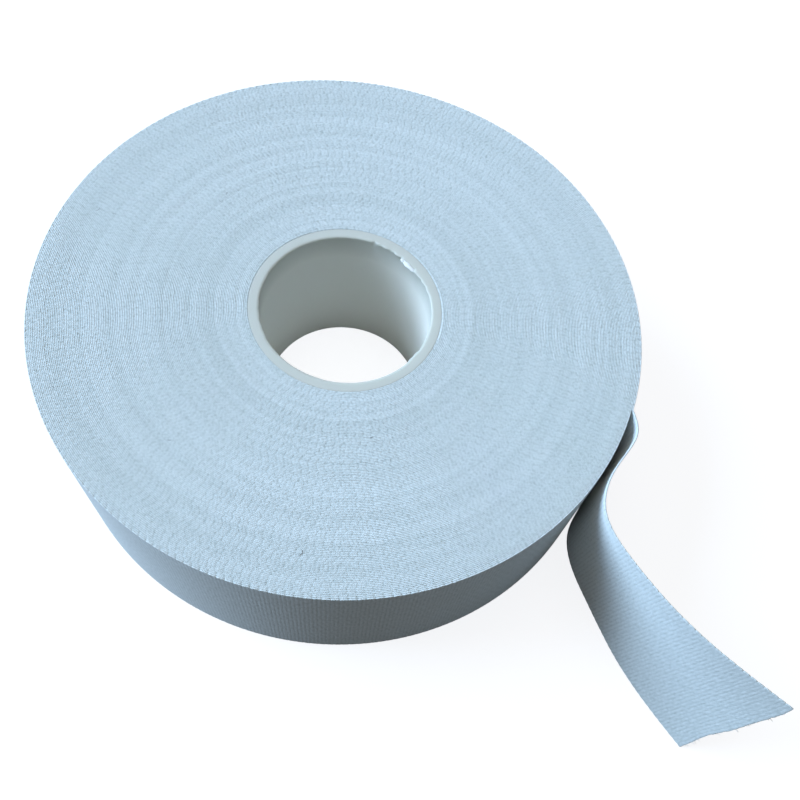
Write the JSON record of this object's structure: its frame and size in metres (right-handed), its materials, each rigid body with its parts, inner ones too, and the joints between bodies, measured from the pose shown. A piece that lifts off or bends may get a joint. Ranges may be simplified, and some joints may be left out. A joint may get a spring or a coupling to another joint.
{
  "type": "grip tape roll",
  "caption": "Roll of woven white cotton grip tape on an open plastic core, its free end peeled off the roll and standing on edge.",
  "frame": {"origin": "on the axis of the core's bore, in the plane that the roll rests on", "axes": "+Z along the bore's axis, out of its upper mouth; +X from the axis towards the line where the free end leaves the roll"},
  "size_m": [0.1216, 0.0914, 0.025],
  "materials": {
    "core_plastic": "translucent natural plastic, satin, with cut burrs at its end",
    "tape_cloth": "matt woven cotton with fine ribs across the width and looped selvages"
  },
  "bodies": {
    "roll": {"core_tube": "core_plastic", "wound_tape": "tape_cloth", "last_turn": "tape_cloth"},
    "tail": {"tail": "tape_cloth"}
  },
  "joints": [
    {"name": "tail_peel", "type": "hinge", "parent": "roll", "child": "tail", "pos_m": [0.0461, -0.0019, 0.0125], "axis": [0, 0, 1], "range_deg": [0, 90]}
  ]
}
